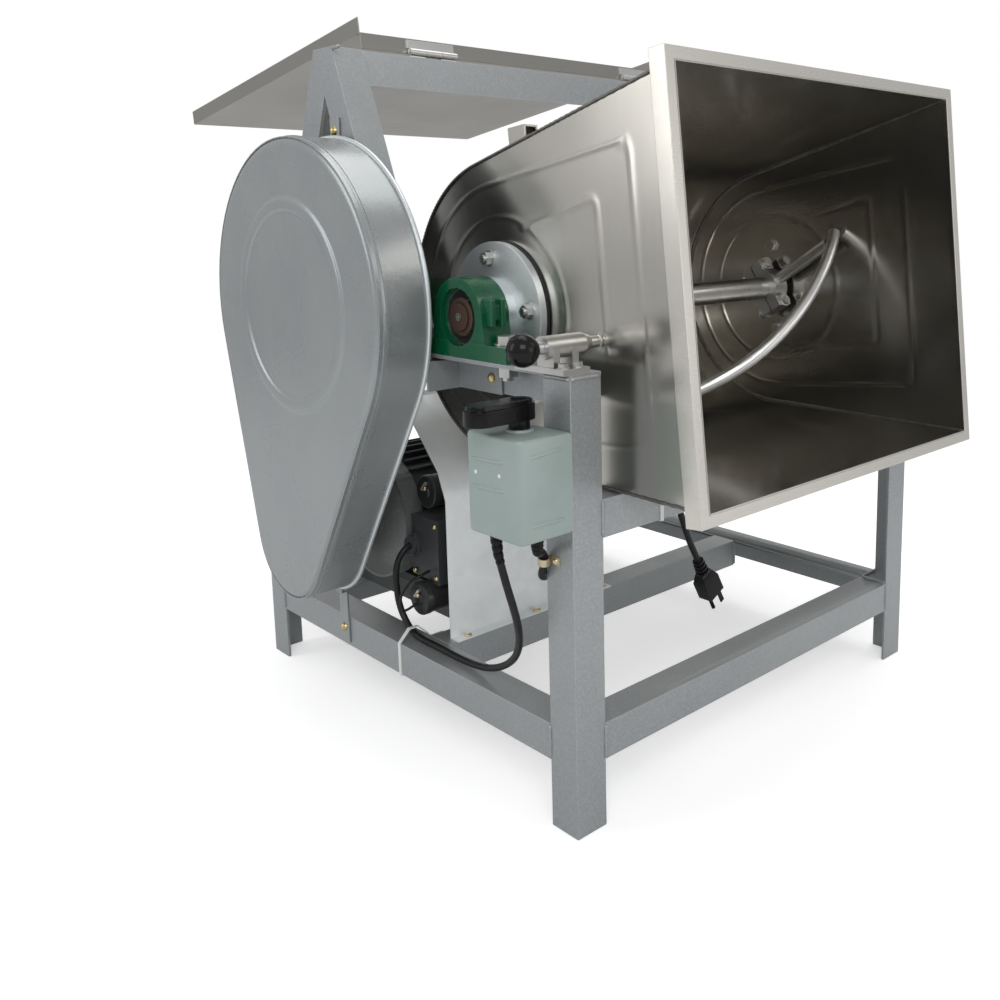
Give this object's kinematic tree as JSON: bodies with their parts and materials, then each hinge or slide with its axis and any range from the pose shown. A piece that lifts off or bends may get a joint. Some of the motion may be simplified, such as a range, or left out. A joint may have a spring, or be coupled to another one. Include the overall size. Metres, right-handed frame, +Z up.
{
  "type": "dough mixer",
  "caption": "Tilting dough mixer: steel hopper with a helical agitator on an angle-steel stand, hinged lid, belt and gear drive under guards, motor behind a shield.",
  "frame": {"origin": "centre of the box round the machine, on the floor", "axes": "+X along the mixing shaft towards the gear cover, +Y to the back, away from the tipped mouth, +Z up"},
  "size_m": [0.7744, 1.0546, 0.8637],
  "materials": {
    "frame_paint": "hammered grey paint",
    "guard_paint": "grey enamel",
    "stainless": "brushed",
    "bright_steel": "machined",
    "worn_steel": "lightly rusted",
    "dark_iron": "painted casting",
    "yellow_zinc": "yellow passivated",
    "black_rubber": "matt",
    "cable_black": "soft sheen",
    "plug_black": "moulded",
    "block_green": "gloss enamel",
    "motor_paint": "satin enamel",
    "cap_plastic": "moulded",
    "galvanised": "galvanised",
    "switch_paint": "grey green enamel",
    "clip_white": "moulded"
  },
  "bodies": {
    "frame": {"post_front_left": "frame_paint", "post_front_right": "frame_paint", "post_rear_left": "frame_paint", "post_rear_right": "frame_paint", "lower_rails": "frame_paint", "motor_rails": "frame_paint", "front_upper_rail": "frame_paint", "rear_upper_rail": "frame_paint", "side_rail_left": "frame_paint", "side_rail_right": "frame_paint", "lid_stand_left": "frame_paint", "lid_stand_right": "frame_paint", "lid_crossbar": "frame_paint", "lid_hinge_fixed": "bright_steel", "pillow_block_left": "block_green", "pillow_block_right": "block_green", "counter_blocks": "block_green", "bearing_inserts": "bright_steel", "pillow_bolts": "bright_steel", "drive_belt": "black_rubber", "gear_cover": "guard_paint", "guard_front": "guard_paint", "guard_band": "guard_paint", "guard_brackets": "frame_paint", "guard_screws": "yellow_zinc", "motor_body": "motor_paint", "motor_end_bells": "motor_paint", "motor_slides": "dark_iron", "terminal_box": "motor_paint", "capacitors": "cap_plastic", "motor_shield": "galvanised", "switch_box": "switch_paint", "motor_cable": "cable_black", "power_cord": "cable_black", "cord_hank": "cable_black", "cord_plug": "plug_black", "cable_clips": "clip_white", "lock_base": "bright_steel"},
    "hopper": {"hopper_side_left": "stainless", "hopper_side_right": "stainless", "hopper_wrap": "stainless", "hopper_rim": "stainless", "hopper_catch": "stainless", "hopper_flanges": "bright_steel", "hopper_gaskets": "black_rubber", "hopper_bolts": "bright_steel"},
    "mixer_shaft": {"main_shaft": "worn_steel", "agitator_arms": "bright_steel", "agitator_bar": "bright_steel", "clamp_bolts": "bright_steel", "main_gear": "dark_iron"},
    "countershaft": {"countershaft": "bright_steel", "large_pulley": "dark_iron", "pinion_gear": "dark_iron"},
    "motor_rotor": {"motor_shaft": "bright_steel", "motor_pulley": "dark_iron"},
    "lid": {"lid": "stainless", "lid_hinge_moving": "bright_steel"},
    "lock": {"lock_plunger": "plug_black"},
    "switch_lever": {"switch_handle": "plug_black"}
  },
  "joints": [
    {"name": "hopper_tilt", "type": "hinge", "parent": "frame", "child": "hopper", "pos_m": [0.01324, -0.22787, 0.5199], "axis": [1, 0, 0], "range_deg": [-84, 0]},
    {"name": "shaft_spin", "type": "hinge", "parent": "frame", "child": "mixer_shaft", "pos_m": [0.01324, -0.22787, 0.5199], "axis": [1, 0, 0], "continuous": true},
    {"name": "countershaft_spin", "type": "hinge", "parent": "frame", "child": "countershaft", "pos_m": [0.01324, -0.00896, 0.5135], "axis": [1, 0, 0], "continuous": true},
    {"name": "motor_spin", "type": "hinge", "parent": "frame", "child": "motor_rotor", "pos_m": [0.01324, 0.04013, 0.238], "axis": [1, 0, 0], "continuous": true},
    {"name": "lid_hinge", "type": "hinge", "parent": "frame", "child": "lid", "pos_m": [0.01324, 0.01083, 0.828], "axis": [1, 0, 0], "range_deg": [0, 189.8]},
    {"name": "lock_slide", "type": "slide", "parent": "frame", "child": "lock", "axis": [1, 0, 0], "range_m": [0, 0.0078]},
    {"name": "switch_turn", "type": "hinge", "parent": "frame", "child": "switch_lever", "pos_m": [-0.32574, -0.36687, 0.44], "axis": [0, 0, 1], "range_deg": [-60, 60]}
  ],
  "couplings": [
    {"joint": "countershaft_spin", "follows": "shaft_spin", "ratio": -4.2143},
    {"joint": "motor_spin", "follows": "shaft_spin", "ratio": -12.643}
  ]
}
